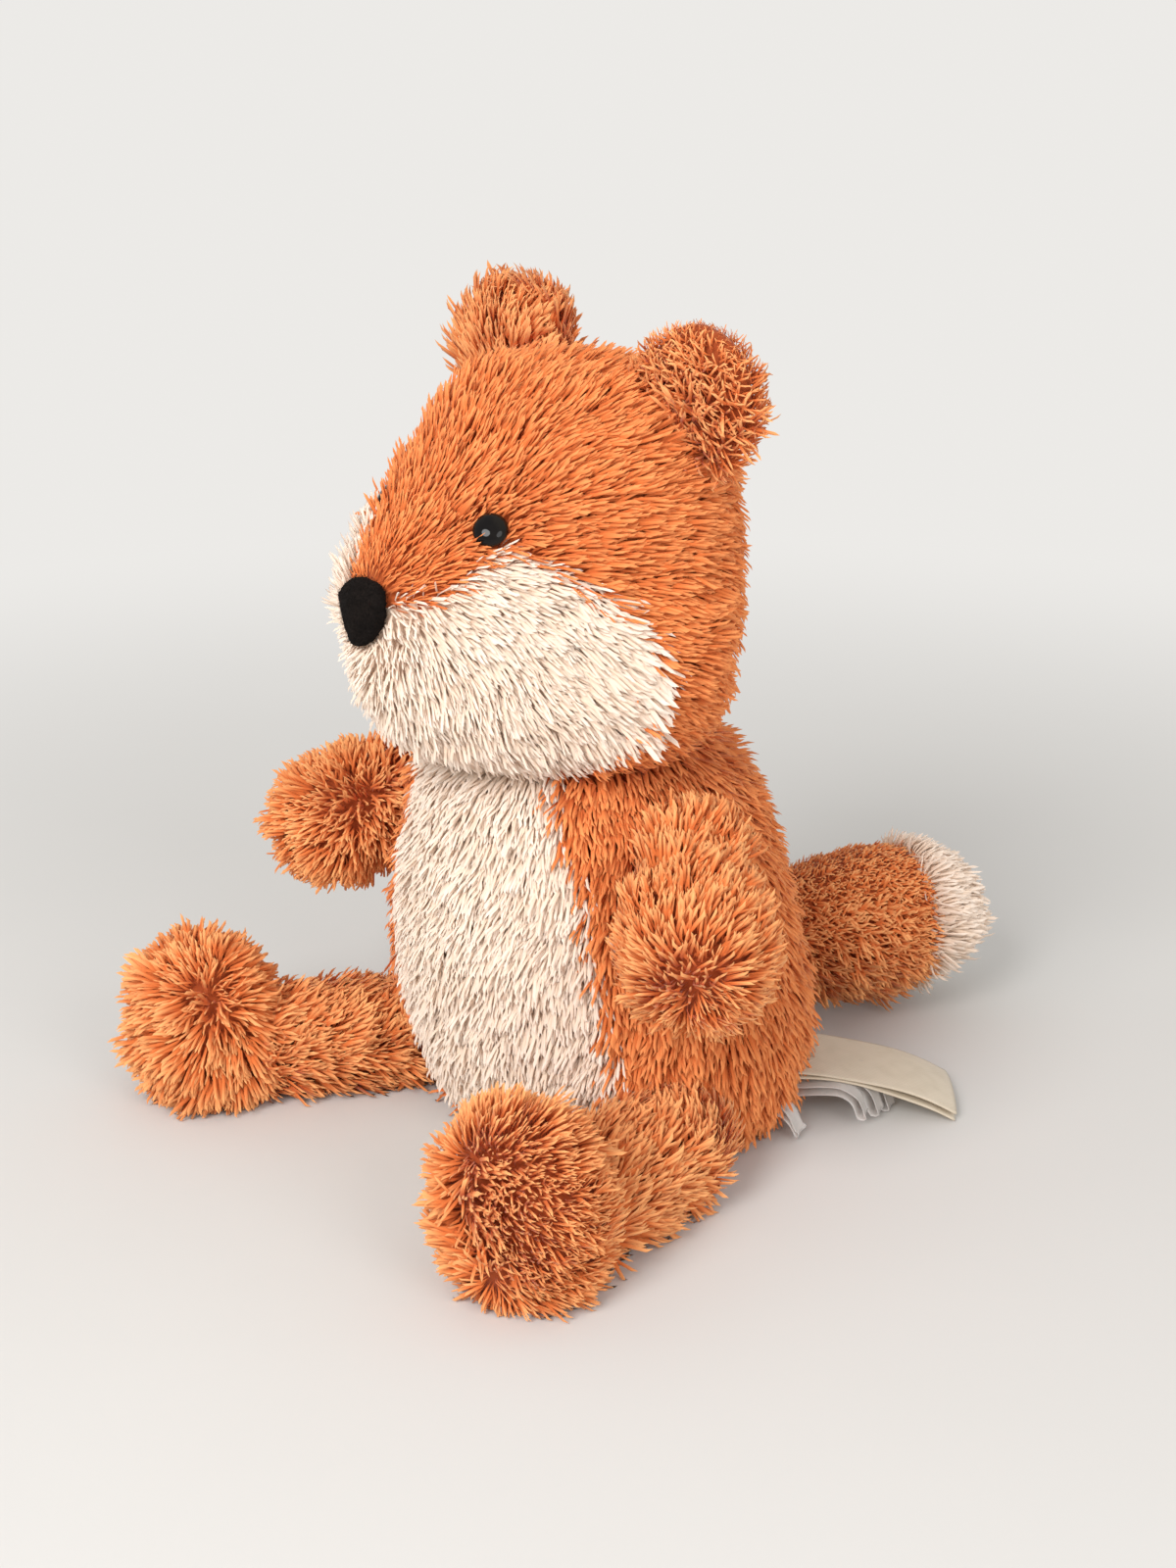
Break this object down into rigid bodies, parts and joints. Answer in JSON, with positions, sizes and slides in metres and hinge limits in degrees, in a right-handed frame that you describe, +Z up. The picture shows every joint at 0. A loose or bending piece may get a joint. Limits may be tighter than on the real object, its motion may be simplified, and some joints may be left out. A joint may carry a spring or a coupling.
{
  "type": "plush fox",
  "caption": "Sitting plush fox with a large round head, white muzzle and belly, stub arms, straight legs with upright feet, a white-tipped tail and bare sewn-in labels.",
  "frame": {"origin": "on the floor, under the middle of the seat", "axes": "+Z up, -Y the way that the fox faces, +X towards its left side"},
  "size_m": [0.1461, 0.1851, 0.1764],
  "materials": {
    "orange_plush": "long curly pile, orange",
    "white_plush": "long curly pile, off-white",
    "black_felt": "matte felt",
    "black_plastic": "polished",
    "washer_plastic": "moulded",
    "fibre_filling": "loose polyester fibre",
    "pellet_filling": "loose pellets in a bag",
    "woven_label": "woven, bare",
    "care_tape": "thin satin, see-through"
  },
  "bodies": {
    "body": {"body_cover": "orange_plush", "belly_panel": "white_plush", "body_stuffing": "fibre_filling", "pellet_bag": "pellet_filling", "label_upper": "woven_label", "label_lower": "woven_label", "care_tape_1": "care_tape", "care_tape_2": "care_tape", "care_tape_3": "care_tape", "care_tape_4": "care_tape"},
    "head": {"head_cover": "orange_plush", "muzzle_panel": "white_plush", "head_stuffing": "fibre_filling", "nose_patch": "black_felt", "eye_left": "black_plastic", "eye_right": "black_plastic", "eye_washer_left": "washer_plastic", "eye_washer_right": "washer_plastic"},
    "left_ear": {"ear_left": "orange_plush"},
    "right_ear": {"ear_right": "orange_plush"},
    "left_arm": {"arm_left": "orange_plush", "arm_stuffing_left": "fibre_filling"},
    "right_arm": {"arm_right": "orange_plush", "arm_stuffing_right": "fibre_filling"},
    "left_leg": {"leg_left": "orange_plush", "leg_stuffing_left": "fibre_filling", "foot_left": "orange_plush", "foot_pellets_left": "pellet_filling"},
    "right_leg": {"leg_right": "orange_plush", "leg_stuffing_right": "fibre_filling", "foot_right": "orange_plush", "foot_pellets_right": "pellet_filling"},
    "tail": {"tail_cover": "orange_plush", "tail_tip": "white_plush", "tail_stuffing": "fibre_filling"}
  },
  "joints": [
    {"name": "head_turn", "type": "hinge", "parent": "body", "child": "head", "pos_m": [0, -0.014, 0.076], "axis": [0, 0, 1], "range_deg": [-25, 25], "stiffness_Nm_per_rad": 0.02},
    {"name": "left_ear_fold", "type": "hinge", "parent": "head", "child": "left_ear", "pos_m": [0.02785, -0.00797, 0.15431], "axis": [0.8949, -0.0146, -0.4461], "range_deg": [-18, 18], "stiffness_Nm_per_rad": 0.01},
    {"name": "right_ear_fold", "type": "hinge", "parent": "head", "child": "right_ear", "pos_m": [-0.01983, -0.00464, 0.15639], "axis": [0.9236, -0.1125, 0.3666], "range_deg": [-18, 18], "stiffness_Nm_per_rad": 0.01},
    {"name": "left_arm_lift", "type": "hinge", "parent": "body", "child": "left_arm", "pos_m": [0.03894, -0.01685, 0.07104], "axis": [0.7314, 0.682, 0], "range_deg": [-45, 6], "stiffness_Nm_per_rad": 0.03},
    {"name": "right_arm_lift", "type": "hinge", "parent": "body", "child": "right_arm", "pos_m": [-0.03894, -0.01685, 0.07104], "axis": [0.7314, -0.682, 0], "range_deg": [-45, 6], "stiffness_Nm_per_rad": 0.03},
    {"name": "left_leg_drop", "type": "hinge", "parent": "body", "child": "left_leg", "pos_m": [0.03952, -0.0229, 0.01], "axis": [0.9986, 0.0523, 0], "range_deg": [-20, 60]},
    {"name": "right_leg_drop", "type": "hinge", "parent": "body", "child": "right_leg", "pos_m": [-0.03952, -0.0229, 0.01], "axis": [0.809, -0.5878, 0], "range_deg": [-20, 60]},
    {"name": "tail_swing", "type": "hinge", "parent": "body", "child": "tail", "pos_m": [0, 0.0488, 0.0245], "axis": [0, 0, 1], "range_deg": [-30, 30], "stiffness_Nm_per_rad": 0.02}
  ]
}
